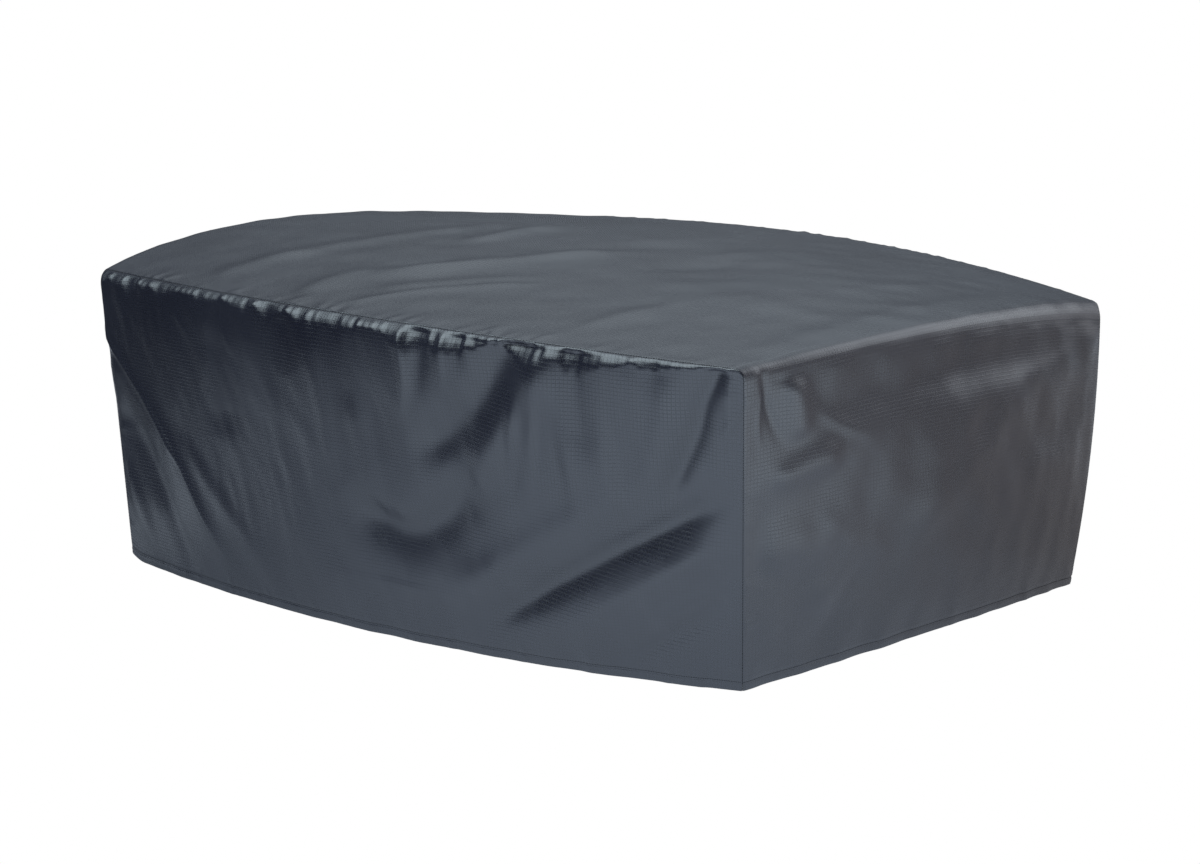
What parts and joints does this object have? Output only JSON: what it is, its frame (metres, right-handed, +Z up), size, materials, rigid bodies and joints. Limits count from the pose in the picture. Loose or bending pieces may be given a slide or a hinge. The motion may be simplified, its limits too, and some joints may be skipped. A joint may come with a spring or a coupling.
{
  "type": "patio furniture cover",
  "caption": "Fitted rectangular cloth cover hanging as over a garden table and its chairs, crowned top, straight drop to a hem on every side, open below.",
  "frame": {"origin": "underside of the middle of the crowned top, where the cloth lies on the table", "axes": "+X along the long sides toward the right end as seen from the near side, +Y from the near long side to the far one, +Z up"},
  "size_m": [2.6237, 2.1086, 1.0328],
  "materials": {
    "coated_cloth": "dark slate blue-grey coated polyester with a fine square ripstop grid and a satin sheen"
  },
  "bodies": {
    "root": {"top_and_ends": "coated_cloth", "near_side": "coated_cloth", "far_side": "coated_cloth"}
  },
  "joints": []
}
